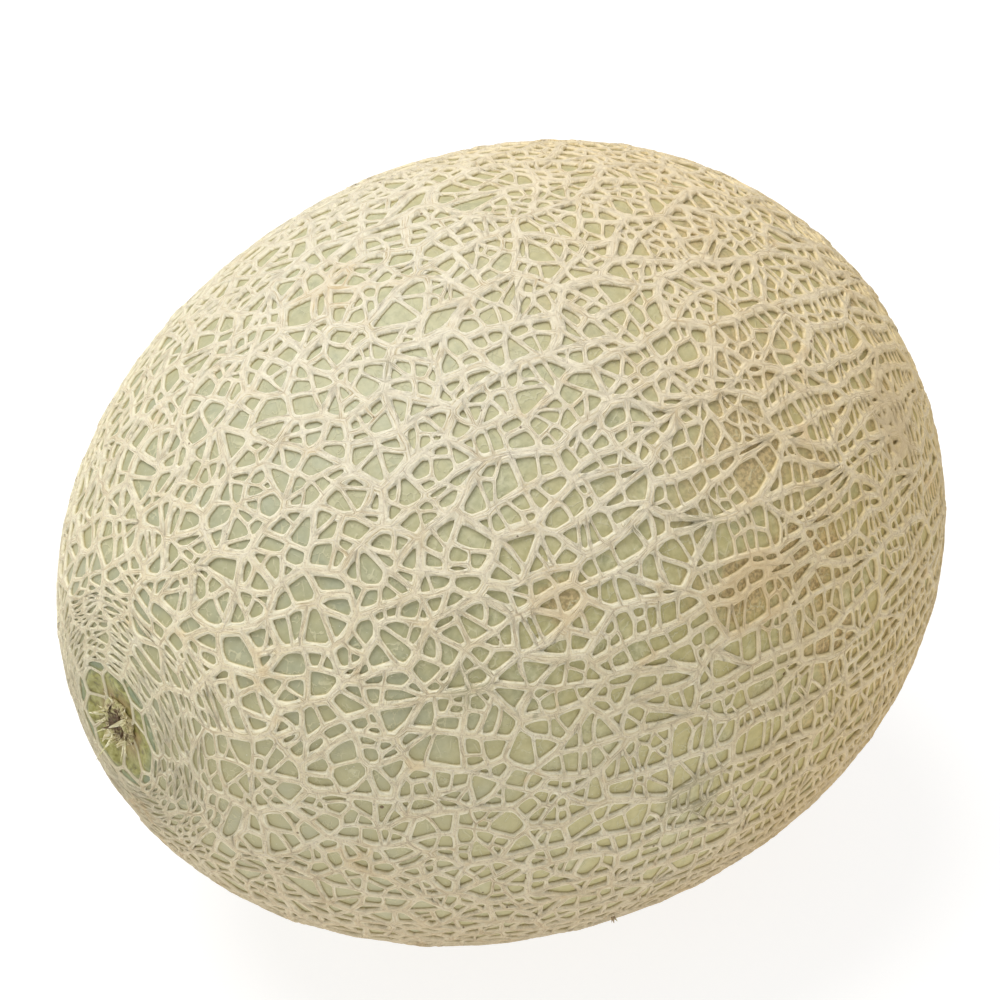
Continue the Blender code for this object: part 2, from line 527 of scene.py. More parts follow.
def foot_line(cell):
    """The foot of the strands round one cell: a point on the ray to each of the outline's points."""
    loops = cell.loops[:]
    corners = np.array([loop.vert.co for loop in loops])
    widths = np.array([loop.edge[width_layer] for loop in loops])
    count = len(loops)
    centre = corners.mean(axis=0)
    outward = centre / np.array([HALF_LENGTH**2, BODY_RADIUS**2, BODY_RADIUS**2])
    outward /= np.linalg.norm(outward)
    true_corner = [len(loop.vert.link_edges) > 2 for loop in loops]
    starts = [i for i in range(count) if true_corner[i]]
    spans = [(a, b) for a, b in zip(starts, starts[1:] + starts[:1])]
    away = corners - centre
    closed = math.exp(-(((Vector(centre) - CLOSED_PLACE).length / CLOSED_REACH) ** 2))
    widening = 1.0 + CLOSED_WIDENING * closed
    filled = MOST_FILLED + (0.96 - MOST_FILLED) * closed
    inward, from_centre, side_width = [], [], []
    for a, b in spans:
        side = corners[b] - corners[a]
        normal = np.cross(outward, side)
        normal /= np.linalg.norm(normal) + 1e-12
        distance = float(np.dot(centre - corners[a], normal))
        if distance < 1e-6:
            continue
        inward.append(normal)
        from_centre.append(distance)
        members = [(a + k) % count for k in range((b - a) % count or count)]
        side_width.append(min(float(widths[members].mean()) * widening, filled * distance))
    inward = np.array(inward)
    from_centre = np.array(from_centre)
    side_width = np.array(side_width)
    kept_distance = from_centre[None, :] + away @ inward.T
    room = from_centre[None, :] - kept_distance
    limit = np.where(room > 1e-7, (from_centre - side_width)[None, :] / np.maximum(room, 1e-7), 9.0)
    share = np.clip(limit.min(axis=1), 0.05, 0.93)
    feet = centre + away * share[:, None]
    for _ in range(CORNER_EASE_ROUNDS):
        feet += CORNER_EASE * (0.5 * (np.roll(feet, 1, axis=0) + np.roll(feet, -1, axis=0)) - feet)
    return {loop.vert.index: foot for loop, foot in zip(loops, feet)}


feet_of_cell = [foot_line(cell) for cell in net.faces]
print("foot lines:", len(feet_of_cell), "points:", sum(len(feet) for feet in feet_of_cell))

# %% [markdown]
# ## From cells to cork
#
# The cork is a solid lattice with an opening at each cell. It could be thickened with a modifier, but
# the top needs a shape of its own: flat or slightly hollow along the middle, a rim, and a short steep
# side. So each cell is inset, the inner face is taken away, and what is left is extruded down into the
# skin, which closes the lattice. Then only the top's spokes are cut into rows. The net is made as bands
# from the stalk to the blossom end, to keep each mesh light; the bands meet along the middle of strands.

# %% Bands of the net
BAND_COUNT = 8
ROWS_ON_TOP = 2
INSET_START = 0.01 * MM

net_turns, _ = turn_and_round(np.array([cell.calc_center_median() for cell in net.faces]))
order = np.argsort(-net_turns)
band_of_cell = np.zeros(len(order), int)
band_of_cell[order] = (np.arange(len(order)) * BAND_COUNT) // len(order)

strand_weight = np.zeros(len(points))
strand_sum = np.zeros(len(points))
for end in (0, 1):
    np.add.at(strand_weight, pairs[:, end], segment_width**2)
    np.add.at(strand_sum, pairs[:, end], segment_width**3)
width_at_point = strand_sum / strand_weight


def band_sheet(number):
    """One band of the net as a flat sheet of strands: cells inset and opened, with notes for its shape."""
    sheet = net.copy()
    layer = sheet.faces.layers.int["cell_id"]
    others = [face for face in sheet.faces if band_of_cell[face[layer]] != number]
    bmesh.ops.delete(sheet, geom=others, context="FACES")
    cells = sheet.faces[:]
    home = sheet.verts.layers.float_vector.new("home")
    across = sheet.verts.layers.float.new("across")
    for vertex in sheet.verts:
        vertex[home] = vertex.co
    bmesh.ops.inset_individual(sheet, faces=cells, thickness=INSET_START, use_even_offset=False)
    point = sheet.verts.layers.int["point_id"]
    for cell in cells:
        feet = feet_of_cell[cell[layer]]
        for vertex in cell.verts:
            vertex.co = feet[vertex[point]]
            vertex[home] = points[vertex[point]]
            vertex[across] = 1.0
    bmesh.ops.delete(sheet, geom=cells, context="FACES_ONLY")
    return sheet


def close_and_cut(sheet):
    """Extrudes the sheet's underside to close it, then cuts the top's spokes into rows."""
    under = sheet.verts.layers.float.new("under")
    across = sheet.verts.layers.float["across"]
    top = sheet.faces[:]
    grown = bmesh.ops.extrude_face_region(sheet, geom=top)
    for item in grown["geom"]:
        if isinstance(item, bmesh.types.BMVert):
            item[under] = 1.0
    spokes = [
        edge
        for edge in sheet.edges
        if edge.verts[0][under] + edge.verts[1][under] == 0.0
        and abs(edge.verts[0][across] - edge.verts[1][across]) == 1.0
    ]
    bmesh.ops.subdivide_edges(sheet, edges=spokes, cuts=ROWS_ON_TOP, use_grid_fill=False)
    for edge in sheet.edges:
        tops = [sum(v[under] for v in face.verts) == 0.0 for face in edge.link_faces]
        edge.smooth = not (tops.count(True) == 1 and edge.verts[0][across] + edge.verts[1][across] == 0.0)
    return sheet


# %% [markdown]
# ## The shape of the cork
#
# Every point of a band now knows the middle of its strand, its own foot and how far across it lies, so
# one pass over the numbers can shape them all. Wide strands stand higher than thin ones. The top is a
# shallow trough between two rims, as the healed crack pulls in along its middle, and the rims end in a
# short steep side. A slow noise lifts and lowers the cork along a strand, and a fine one roughens it.

# %% Heights and rows
HEIGHT_START = 0.27 * MM
HEIGHT_PER_WIDTH = 0.21
HEIGHT_LIMIT = 0.80
SIDE_WIDTH = 0.27 * MM
FOOT_SUNK = 0.12 * MM
UNDER_SUNK = 0.60 * MM
TROUGH = 0.90
RIM = 0.95
HEIGHT_WAVE = 0.22
HEIGHT_WAVE_SIZE = 5.0 * MM
ROUGH_HEIGHT = 0.045 * MM
ROUGH_SIZE = 0.7 * MM


def noise_over(places, size):
    return np.array([noise.noise(Vector(p) / size) for p in places])


def values_of(items, key, width=1, kind=np.float32):
    """One value, or a row of them, for every item of a mesh."""
    found = np.empty(len(items) * width, kind)
    items.foreach_get(key, found)
    return found if width == 1 else found.reshape(-1, width).astype(float)


def shape_cork(mesh):
    """Moves every point of a band to its place on the cork, and notes its distance from the middle."""
    home = values_of(mesh.attributes["home"].data, "vector", 3)
    across = values_of(mesh.attributes["across"].data, "value")
    under = values_of(mesh.attributes["under"].data, "value") > 0.5
    nearest = values_of(mesh.attributes["point_id"].data, "value", kind=np.int32)
    flat = values_of(mesh.vertices, "co", 3)
    whole = (flat - home) / np.maximum(across, 0.2)[:, None]
    reach = np.linalg.norm(whole, axis=1)
    rim = np.clip(1.0 - SIDE_WIDTH / np.maximum(reach, 1e-6), 0.50, 0.90)
    place = np.select([across < 0.1, across < 0.5, across < 0.9], [0.0 * rim, 0.5 * rim, rim], 1.0)
    lift = np.select([across < 0.1, across < 0.5, across < 0.9], [TROUGH, 1.0, RIM], 0.0)
    flat = home + whole * place[:, None]
    strand = 2.0 * width_at_point[nearest]
    full = np.minimum(HEIGHT_START + HEIGHT_PER_WIDTH * strand, HEIGHT_LIMIT * strand)
    full = full * (1.0 + HEIGHT_WAVE * noise_over(home, HEIGHT_WAVE_SIZE))
    height = SKIN_LEVEL + full * lift + ROUGH_HEIGHT * noise_over(flat, ROUGH_SIZE) * (lift > 0.0)
    height = np.where(across > 0.9, SKIN_LEVEL - FOOT_SUNK, height)
    height = np.where(under, SKIN_LEVEL - UNDER_SUNK, height)
    laid = lay_on_body(flat, height)
    lowest = TABLE_LEVEL + np.where(under, UNDER_SUNK, np.where(across > 0.9, 2.0 * FOOT_SUNK, 0.0))
    laid[:, 2] = np.maximum(laid[:, 2], lowest)
    laid += np.array(BODY_MIDDLE)
    mesh.vertices.foreach_set("co", laid.astype(np.float32).ravel())
    lateral = mesh.attributes.new("lateral", "FLOAT", "POINT")
    lateral.data.foreach_set("value", (reach * place / MM).astype(np.float32))
    mesh.update()


# %% [markdown]
# ## A finished piece
#
# Every piece ends the same way: its bmesh becomes a mesh with one material, and the piece rides on the
# melon. A closed shape has two faces on every edge, so the count of open edges is printed with it.

# %% Turn a shape into a piece
def finished_object(name, shape, material, body="root"):
    open_edges = sum(1 for edge in shape.edges if len(edge.link_faces) != 2)
    print(name, "faces:", len(shape.faces), "open edges:", open_edges)
    mesh = bpy.data.meshes.new(name)
    shape.to_mesh(mesh)
    shape.free()
    piece = bpy.data.objects.new(name, mesh)
    bpy.context.scene.collection.objects.link(piece)
    mesh.materials.append(material)
    mesh.shade_smooth()
    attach(piece, body)
    return piece


# %% [markdown]
# ## Nodes in code
#
# A material is a graph of nodes. In the editor they are dragged and wired by hand; here one small helper
# adds a node, sets it up and wires its inputs, and a few more give short names to the sums that come
# back often. That keeps each finish below readable as a recipe.

# %% Node helpers
def put(tree, kind, inputs=None, **settings):
    """Adds a node, sets its properties, and gives its inputs values or other nodes' outputs."""
    node = tree.nodes.new(kind)
    for name, value in settings.items():
        setattr(node, name, value)
    for name, value in (inputs or {}).items():
        if isinstance(value, bpy.types.NodeSocket):
            tree.links.new(value, node.inputs[name])
        else:
            node.inputs[name].default_value = value
    return node


def reckon(tree, operation, first, second=0.0):
    return put(tree, "ShaderNodeMath", {0: first, 1: second}, operation=operation).outputs[0]


def times(tree, first, second):
    return reckon(tree, "MULTIPLY", first, second)


def reckon_vector(tree, operation, first, second=(0.0, 0.0, 0.0), output="Vector"):
    return put(tree, "ShaderNodeVectorMath", {0: first, 1: second}, operation=operation).outputs[output]


def rise(tree, value, low, high):
    """0 below low, 1 above high, smooth between; low may be the larger, for a fall."""
    inputs = {"Value": value, "From Min": low, "From Max": high}
    return put(tree, "ShaderNodeMapRange", inputs, interpolation_type="SMOOTHSTEP").outputs["Result"]


def grow(tree, vector, size):
    """Coordinates in units of a size in metres, so that a pattern of scale 1 has that size."""
    wired = isinstance(size, bpy.types.NodeSocket)
    inputs = {0: vector, "Scale": reckon(tree, "DIVIDE", 1.0, size) if wired else 1.0 / size}
    return put(tree, "ShaderNodeVectorMath", inputs, operation="SCALE").outputs[0]


def noise_4d(tree, vector, fourth, detail, roughness):
    """A noise of four coordinates; the fourth is a seed, or a reading that the pattern should follow."""
    inputs = {"Vector": vector, "W": fourth, "Scale": 1.0, "Detail": detail, "Roughness": roughness}
    return put(tree, "ShaderNodeTexNoise", inputs, noise_dimensions="4D").outputs["Fac"]


def tint(tree, share, under, over, way="MIX"):
    """Lays one colour over another by a share."""
    node = put(tree, "ShaderNodeMix", data_type="RGBA", blend_type=way)
    for place, value in ((0, share), (6, under), (7, over)):
        if isinstance(value, bpy.types.NodeSocket):
            tree.links.new(value, node.inputs[place])
        else:
            node.inputs[place].default_value = (*value, 1.0) if isinstance(value, tuple) else value
    return node.outputs[2]


def stain(tree, colour, mask, share, over, way="MIX"):
    """Lays a stain over a colour where a mask says, at most by a share."""
    return tint(tree, times(tree, mask, share), colour, over, way)


def shades(tree, value, stops):
    """A colour ramp through (place, colour) stops."""
    node = put(tree, "ShaderNodeValToRGB", {"Fac": value})
    points = node.color_ramp.elements
    while len(points) < len(stops):
        points.new(0.5)
    for point, (place, colour) in zip(points, stops):
        point.position = place
        point.color = (*colour, 1.0)
    return node.outputs["Color"]


# %% Helpers that start and end a finish
def new_material(name):
    material = bpy.data.materials.new(name)
    material.use_nodes = True
    return material, material.node_tree, material.node_tree.nodes["Principled BSDF"]


def object_place(tree):
    return put(tree, "ShaderNodeTexCoord").outputs["Object"]


def gloss(tree, value, at_low, at_high):
    """A roughness that follows a noise: one value where the noise is low, another where it is high."""
    inputs = {"Value": value, "From Min": 0.3, "From Max": 0.7, "To Min": at_low, "To Max": at_high}
    return put(tree, "ShaderNodeMapRange", inputs).outputs["Result"]


def wire(tree, shader, colour, rough, relief, strength, depth):
    """Feeds a finished colour, roughness and relief to the shader."""
    tree.links.new(colour, shader.inputs["Base Color"])
    tree.links.new(rough, shader.inputs["Roughness"])
    bump = put(tree, "ShaderNodeBump", {"Height": relief, "Strength": strength, "Distance": depth})
    tree.links.new(bump.outputs["Normal"], shader.inputs["Normal"])


# %% [markdown]
# ## Effects that several finishes share
#
# Four effects come back in the skin, the cork and the scar, so each is a node group, built once and
# placed with its own values. The first only says where on the melon a point lies, because the two ends
# weather differently, and the top is given painted light and the belly painted shade. Object coordinates
# give it, and no map is needed.

# %% Start a group, and say where on the melon
FLOAT = "NodeSocketFloat"
VECTOR = "NodeSocketVector"


def new_group(name, given, made):
    group = bpy.data.node_groups.new(name, "ShaderNodeTree")
    for title, kind, start in given:
        socket = group.interface.new_socket(title, in_out="INPUT", socket_type=kind)
        if start is not None:
            socket.default_value = start
    for title in made:
        group.interface.new_socket(title, in_out="OUTPUT", socket_type=FLOAT)
    return group, put(group, "NodeGroupInput").outputs, put(group, "NodeGroupOutput").inputs


def make_melon_places():
    """0 at the stalk to 1 at the blossom, 0 on the table to 1 on top, and metres off the long axis."""
    made = ("Along", "Height", "Off Axis")
    group, start, end = new_group("melon_places", (("Place", VECTOR, None),), made)
    parts = put(group, "ShaderNodeSeparateXYZ", {0: start["Place"]}).outputs
    middle = reckon_vector(group, "SUBTRACT", start["Place"], tuple(BODY_MIDDLE))
    flat = reckon_vector(group, "MULTIPLY", middle, (0.0, 1.0, 1.0))
    group.links.new(rise(group, parts["X"], fruit_low.x, fruit_high.x), end["Along"])
    group.links.new(reckon(group, "DIVIDE", parts["Z"], fruit_high.z), end["Height"])
    group.links.new(reckon_vector(group, "LENGTH", flat, output="Value"), end["Off Axis"])
    return group


# %% [markdown]
# Grown patches are soft islands of a noise, such as stains and blush. Marked spots are single marks at
# known places: a rubbed shoulder, a sunburnt tan. Dry fleck is a scatter of tiny round dots, pale when
# it is wax and dark when it is dirt. Painting would do the same on a map, but it would need an image.

# %% Patches, spots and fleck
def make_grown_patches():
    given = (("Place", VECTOR, None), ("Size", FLOAT, 0.01), ("Seed", FLOAT, 0.0), ("Edge", FLOAT, 0.55))
    group, start, end = new_group("grown_patches", (*given, ("Softness", FLOAT, 0.08)), ("Mask", "Value"))
    field = noise_4d(group, grow(group, start["Place"], start["Size"]), start["Seed"], 3.0, 0.55)
    low = reckon(group, "SUBTRACT", start["Edge"], start["Softness"])
    high = reckon(group, "ADD", start["Edge"], start["Softness"])
    group.links.new(rise(group, field, low, high), end["Mask"])
    group.links.new(field, end["Value"])
    return group


def make_marked_spot():
    given = (("Place", VECTOR, None), ("Spot", VECTOR, None), ("Radius", FLOAT, 0.01), ("Seed", FLOAT, 0.0))
    group, start, end = new_group("marked_spot", given, ("Mask",))
    apart = reckon_vector(group, "DISTANCE", start["Place"], start["Spot"], "Value")
    share = reckon(group, "DIVIDE", apart, start["Radius"])
    ragged = noise_4d(group, grow(group, start["Place"], 3.5 * MM), start["Seed"], 3.0, 0.6)
    reach = reckon(group, "ADD", share, times(group, reckon(group, "SUBTRACT", ragged, 0.5), 1.6))
    group.links.new(rise(group, reach, 1.15, 0.45), end["Mask"])
    return group


def make_dry_fleck():
    given = (("Place", VECTOR, None), ("Spacing", FLOAT, 0.002), ("Dot", FLOAT, 0.1), ("Share", FLOAT, 0.3))
    group, start, end = new_group("dry_fleck", given, ("Mask",))
    scaled = grow(group, start["Place"], start["Spacing"])
    dots = put(group, "ShaderNodeTexVoronoi", {"Vector": scaled, "Scale": 1.0})
    luck = put(group, "ShaderNodeSeparateColor", {0: dots.outputs["Color"]}).outputs[0]
    size = times(group, start["Dot"], reckon(group, "ADD", luck, 0.4))
    here = reckon(group, "LESS_THAN", luck, start["Share"])
    dot = rise(group, reckon(group, "DIVIDE", dots.outputs["Distance"], size), 1.2, 0.7)
    group.links.new(times(group, dot, here), end["Mask"])
    return group


# %% Place a shared effect in a material
GROUPS = {
    "places": make_melon_places(),
    "patches": make_grown_patches(),
    "spot": make_marked_spot(),
    "fleck": make_dry_fleck(),
}


def effect(tree, name, **inputs):
    """Places a shared effect in a material with its own values, and returns what it puts out."""
    node = put(tree, "ShaderNodeGroup", node_tree=GROUPS[name])
    for title, value in inputs.items():
        if isinstance(value, bpy.types.NodeSocket):
            tree.links.new(value, node.inputs[title])
        else:
            node.inputs[title].default_value = value
    return node.outputs


def patches(tree, place, size, seed, edge=0.5, softness=0.08):
    made = effect(tree, "patches", Place=place, Size=size * MM, Seed=seed, Edge=edge, Softness=softness)
    return made["Mask"]


def cloud_of(tree, place, size, seed):
    """The noise itself behind the grown patches, for slow changes without an edge."""
    return effect(tree, "patches", Place=place, Size=size * MM, Seed=seed)["Value"]


def fleck(tree, place, spacing, dot, share):
    return effect(tree, "fleck", Place=place, Spacing=spacing * MM, Dot=dot, Share=share)["Mask"]


def all_spots(tree, place, spots, seed):
    """One mask of several marked spots, each a place from the body's middle in mm and a radius in mm."""
    mask = None
    for where, radius in spots:
        spot = BODY_MIDDLE + Vector(where) * MM
        one = effect(tree, "spot", Place=place, Spot=spot, Radius=radius * MM, Seed=seed)["Mask"]
        mask = one if mask is None else reckon(tree, "MAXIMUM", mask, one)
    return mask


print("shared effects:", sorted(group.name for group in GROUPS.values()))

# %% [markdown]
# ## The cork
#
# Healed cork is dry, matt and fibrous. Its fibres run along the strand, so the pattern is a noise with
# four coordinates: three are the place on the melon, read very coarsely, and the fourth is the distance
# from the strand's middle, read finely. The noise then changes fast across a strand and slowly along it,
# whichever way the strand turns. Grit breaks it up, the trough along the middle is browner, and the rims
# carry a painted highlight.

# %% The cork's colours and marks
FIBRE_SHADES = (
    (0.32, (0.52, 0.41, 0.23)),
    (0.43, (0.78, 0.67, 0.43)),
    (0.53, (0.90, 0.81, 0.56)),
    (0.65, (0.96, 0.90, 0.69)),
)
GRIT_BROWN = (0.52, 0.42, 0.28)
TROUGH_TAN = (0.78, 0.66, 0.50)
CREASE_BROWN = (0.50, 0.41, 0.28)
# Painted highlight colours for the rims of the strands.
RIM_HIGHLIGHT_BY_STALK = (0.97, 0.92, 0.70)
RIM_HIGHLIGHT_BY_BLOSSOM = (0.95, 0.81, 0.46)
WARM_CREAM = (0.80, 0.66, 0.40)
SUN_TAN = (0.80, 0.57, 0.27)
RUBBED_BROWN = (0.66, 0.53, 0.31)
SCUFF_OLIVE = (0.36, 0.34, 0.20)
TOP_LIGHT_CREAM = (0.97, 0.92, 0.78)
FOOT_SHADE_OLIVE = (0.34, 0.29, 0.12)
CORK_DIRT = (0.20, 0.13, 0.07)
AGED_CORK = (1.0, 0.925, 0.82)
CORK_BELLY_SHADE = (0.76, 0.68, 0.61)
CORK_BY_SCAR = (0.88, 0.89, 0.88)
TAN_MARKS = (((-30.1, 14.4, 69.2), 9.0), ((-28.1, -58.5, 40.7), 8.0), ((8.7, -67.7, 31.5), 11.0))
RUBBED_MARKS = (((56.6, -46.6, 34.9), 10.0),)
SCUFF_MARKS = (
    ((-8.8, -74.2, -7.8), 8.0),
    ((-36.7, -11.3, 67.5), 4.5),
    ((-47.8, -56.5, 29.0), 5.0),
    ((3.0, -60.0, 46.0), 4.5),
)
FIBRE_LENGTH = 4.5 * MM
FIBRES_PER_MM = 4.6
FIBRE_TWIST = 3.0


def reading(tree, name):
    return put(tree, "ShaderNodeAttribute", attribute_name=name).outputs["Fac"]


# %% The cork's fibres, and how its shape catches colour
def cork_fibre(tree, place):
    lane = times(tree, reading(tree, "lateral"), FIBRES_PER_MM)
    lane = reckon(tree, "ADD", lane, times(tree, cloud_of(tree, place, 2.6, 4.0), FIBRE_TWIST))
    return noise_4d(tree, grow(tree, place, FIBRE_LENGTH), lane, 2.5, 0.62)


def colour_of_strand(tree, fibre, grit, towards_blossom):
    """Fibre and grit, a browner trough along the middle, and painted highlights on the rims that yellow to
    the blossom.
    """
    across = reading(tree, "across")
    colour = shades(tree, fibre, FIBRE_SHADES)
    colour = stain(tree, colour, rise(tree, grit, 0.45, 0.33), 0.62, GRIT_BROWN)
    colour = stain(tree, colour, rise(tree, across, 0.36, 0.04), 0.34, TROUGH_TAN)
    # Painted highlight: the rims are lightened to a cream that yellows towards the blossom.
    rim = times(tree, rise(tree, across, 0.34, 0.60), rise(tree, across, 0.97, 0.76))
    rim_highlight = tint(tree, rise(tree, towards_blossom, 0.40, 0.90), RIM_HIGHLIGHT_BY_STALK, RIM_HIGHLIGHT_BY_BLOSSOM)
    colour = stain(tree, colour, rim, 0.62, rim_highlight)
    crease = times(tree, rise(tree, across, 0.22, 0.02), rise(tree, grit, 0.52, 0.40))
    return stain(tree, colour, crease, 0.32, CREASE_BROWN)


# %% [markdown]
# Weather and painted light come after shape. Stains and scuffs are laid over the strand's own colour,
# painted light from above lightens the top, and painted shade darkens the foot of every strand to olive
# where it meets the skin. Last, three tints multiply what is there: age towards the blossom, painted shade
# on the belly, and a greyer ring beside the scar.

# %% The cork's finish
def make_cork():
    material, tree, shader = new_material("net_cork")
    place = object_place(tree)
    where = effect(tree, "places", Place=place)
    towards_blossom = where["Along"]
    fibre = cork_fibre(tree, place)
    grit = cloud_of(tree, place, 0.42, 8.0)
    colour = colour_of_strand(tree, fibre, grit, towards_blossom)
    warm = reckon(tree, "ADD", 0.12, times(tree, towards_blossom, 0.45))
    colour = tint(tree, times(tree, patches(tree, place, 30.0, 2.0, 0.52, 0.16), warm), colour, WARM_CREAM)
    tan = patches(tree, place, 9.0, 6.0, 0.655, 0.05)
    tan = reckon(tree, "MAXIMUM", all_spots(tree, place, TAN_MARKS, 1.0), tan)
    colour = stain(tree, colour, tan, 0.36, SUN_TAN)
    colour = stain(tree, colour, all_spots(tree, place, RUBBED_MARKS, 3.0), 0.50, RUBBED_BROWN)
    scuff = patches(tree, place, 6.0, 9.0, 0.70, 0.03)
    scuff = reckon(tree, "MAXIMUM", all_spots(tree, place, SCUFF_MARKS, 5.0), scuff)
    colour = stain(tree, colour, times(tree, scuff, rise(tree, fibre, 0.58, 0.46)), 0.60, SCUFF_OLIVE)
    # Painted light from above: the paler fibres on the top are lightened further.
    top_light = times(tree, rise(tree, where["Height"], 0.66, 1.0), rise(tree, fibre, 0.34, 0.50))
    colour = stain(tree, colour, top_light, 0.45, TOP_LIGHT_CREAM)
    # Painted shade: the foot of every strand, where it meets the skin, is darkened to olive.
    colour = stain(tree, colour, rise(tree, reading(tree, "across"), 0.70, 1.0), 0.90, FOOT_SHADE_OLIVE)
    colour = stain(tree, colour, fleck(tree, place, 5.0, 0.09, 0.35), 0.80, CORK_DIRT)
    colour = stain(tree, colour, rise(tree, towards_blossom, 0.30, 0.85), 0.90, AGED_CORK, "MULTIPLY")
    # Painted shade: the cork is darkened towards the belly.
    colour = stain(tree, colour, rise(tree, where["Height"], 0.62, 0.05), 0.90, CORK_BELLY_SHADE, "MULTIPLY")
    beside_scar = rise(tree, where["Off Axis"], 30.0 * MM, 13.0 * MM)
    beside_scar = times(tree, beside_scar, rise(tree, towards_blossom, 0.3, 0.1))
    colour = tint(tree, beside_scar, colour, CORK_BY_SCAR, "MULTIPLY")
    relief = reckon(tree, "ADD", fibre, times(tree, grit, 0.45))
    wire(tree, shader, colour, gloss(tree, fibre, 0.95, 0.78), relief, strength=0.85, depth=0.60 * MM)
    shader.inputs["Specular IOR Level"].default_value = 0.25
    return material


cork = make_cork()
print("finish:", cork.name, len(cork.node_tree.nodes), "nodes")

# %% [markdown]
# ## The skin between the strands
#
# The bare skin is waxy and clouded. It is grey-green by the stalk and darker close to the scar, and
# yellower towards the blossom end. Painted fill light makes it paler on the low flank, painted light from
# above makes it greyer on top, and painted shade darkens the belly. Where it sunburnt there are brown
# speckled islands.

# %% The skin's colours and marks
SKIN_SHADES = ((0.34, (0.35, 0.34, 0.165)), (0.52, (0.52, 0.50, 0.27)), (0.68, (0.66, 0.62, 0.38)))
STALK_GREEN = (0.34, 0.36, 0.25)
SCAR_RING_GREEN = (0.17, 0.20, 0.13)
FLANK_FILL_LIGHT = (0.66, 0.59, 0.36)
RIPE_YELLOW = (0.53, 0.45, 0.17)
BURNT_SHADES = ((0.40, (0.28, 0.18, 0.06)), (0.60, (0.66, 0.49, 0.24)))
HAIRLINE_CREAM = (0.70, 0.66, 0.43)
SKIN_WAX = (0.78, 0.80, 0.70)
TOP_LIGHT_GREEN = (0.51, 0.52, 0.40)
SKIN_DIRT = (0.18, 0.12, 0.06)
AGED_SKIN = (1.0, 0.92, 0.78)
SKIN_BELLY_SHADE = (0.90, 0.87, 0.82)
HAIRLINE_CELL = 2.6 * MM
BURNT_MARKS = (
    ((19.9, -52.0, 51.5), 12.0),
    ((6.6, -67.4, 32.4), 8.0),
    ((23.1, -65.7, 30.6), 12.0),
    ((26.6, -70.6, 12.3), 8.0),
    ((-28.1, -58.5, 40.7), 5.0),
)


def ground_colour(tree, place, cloud, where):
    """The skin's colour from the stalk to the blossom, before any marks, with painted fill light on the low
    flank.
    """
    stalk_side = rise(tree, where["Along"], 0.30, 0.02)
    colour = stain(tree, shades(tree, cloud, SKIN_SHADES), stalk_side, 0.75, STALK_GREEN)
    beside_scar = times(tree, rise(tree, where["Off Axis"], 34.0 * MM, 15.0 * MM), stalk_side)
    colour = stain(tree, colour, beside_scar, 0.80, SCAR_RING_GREEN)
    # Painted fill light: the low flank on the stalk side is lifted to a paler colour, as if lit from below.
    flank_fill = times(tree, rise(tree, where["Height"], 0.80, 0.48), rise(tree, where["Along"], 0.62, 0.36))
    colour = stain(tree, colour, flank_fill, 0.42, FLANK_FILL_LIGHT)
    ripe = reckon(tree, "ADD", 0.30, times(tree, where["Along"], 0.65))
    return tint(tree, times(tree, patches(tree, place, 11.0, 7.0, 0.47, 0.14), ripe), colour, RIPE_YELLOW)


# %% [markdown]
# The skin also carries hairline cracks that never grew into strands. They are drawn as the borders of
# small Voronoi cells, bent by the cloud and shown only in patches. The skin is smoother than the cork,
# so it keeps a little gloss, which the hairlines lose.

# %% The skin's finish
def hairlines(tree, place, cloud):
    bent = reckon_vector(tree, "ADD", grow(tree, place, HAIRLINE_CELL), times(tree, cloud, 0.8))
    cells = put(tree, "ShaderNodeTexVoronoi", {"Vector": bent, "Scale": 1.0}, feature="DISTANCE_TO_EDGE")
    line = rise(tree, cells.outputs["Distance"], 0.075, 0.02)
    return times(tree, line, patches(tree, place, 3.2, 21.0, 0.50, 0.04))


def make_skin():
    material, tree, shader = new_material("waxy_skin")
    place = object_place(tree)
    where = effect(tree, "places", Place=place)
    towards_blossom = where["Along"]
    cloud = cloud_of(tree, place, 1.5, 3.0)
    colour = ground_colour(tree, place, cloud, where)
    burnt = patches(tree, place, 17.0, 12.0, 0.585, 0.07)
    burnt = times(tree, burnt, rise(tree, towards_blossom, 0.25, 0.75))
    burnt = reckon(tree, "MAXIMUM", burnt, all_spots(tree, place, BURNT_MARKS + RUBBED_MARKS, 2.0))
    speckled = shades(tree, cloud_of(tree, place, 0.8, 5.0), BURNT_SHADES)
    colour = stain(tree, colour, burnt, 0.78, speckled)
    hairline = hairlines(tree, place, cloud)
    colour = stain(tree, colour, hairline, 0.55, HAIRLINE_CREAM)
    colour = stain(tree, colour, fleck(tree, place, 1.1, 0.16, 0.30), 0.65, SKIN_WAX)
    # Painted light from above: the top of the skin is mixed towards a greyer, paler green.
    colour = stain(tree, colour, rise(tree, where["Height"], 0.66, 1.0), 0.40, TOP_LIGHT_GREEN)
    colour = tint(tree, fleck(tree, place, 6.5, 0.08, 0.4), colour, SKIN_DIRT)
    colour = tint(tree, rise(tree, towards_blossom, 0.30, 0.85), colour, AGED_SKIN, "MULTIPLY")
    # Painted shade: the skin is darkened towards the belly.
    colour = stain(tree, colour, rise(tree, where["Height"], 0.62, 0.05), 0.85, SKIN_BELLY_SHADE, "MULTIPLY")
    rough = reckon(tree, "MAXIMUM", gloss(tree, cloud, 0.42, 0.62), hairline)
    relief = reckon(tree, "ADD", cloud, times(tree, hairline, 0.5))
    wire(tree, shader, colour, rough, relief, strength=0.6, depth=0.35 * MM)
    return material


skin_finish = make_skin()
print("finish:", skin_finish.name, len(skin_finish.node_tree.nodes), "nodes")

# %% [markdown]
# ## The scar and the torn stalk
#
# Where the stalk let go, the scar is soft, greener tissue, with a brown flush near the middle. It reads
# its place, as the skin does, and needs only the distance off the long axis for its rings of colour.

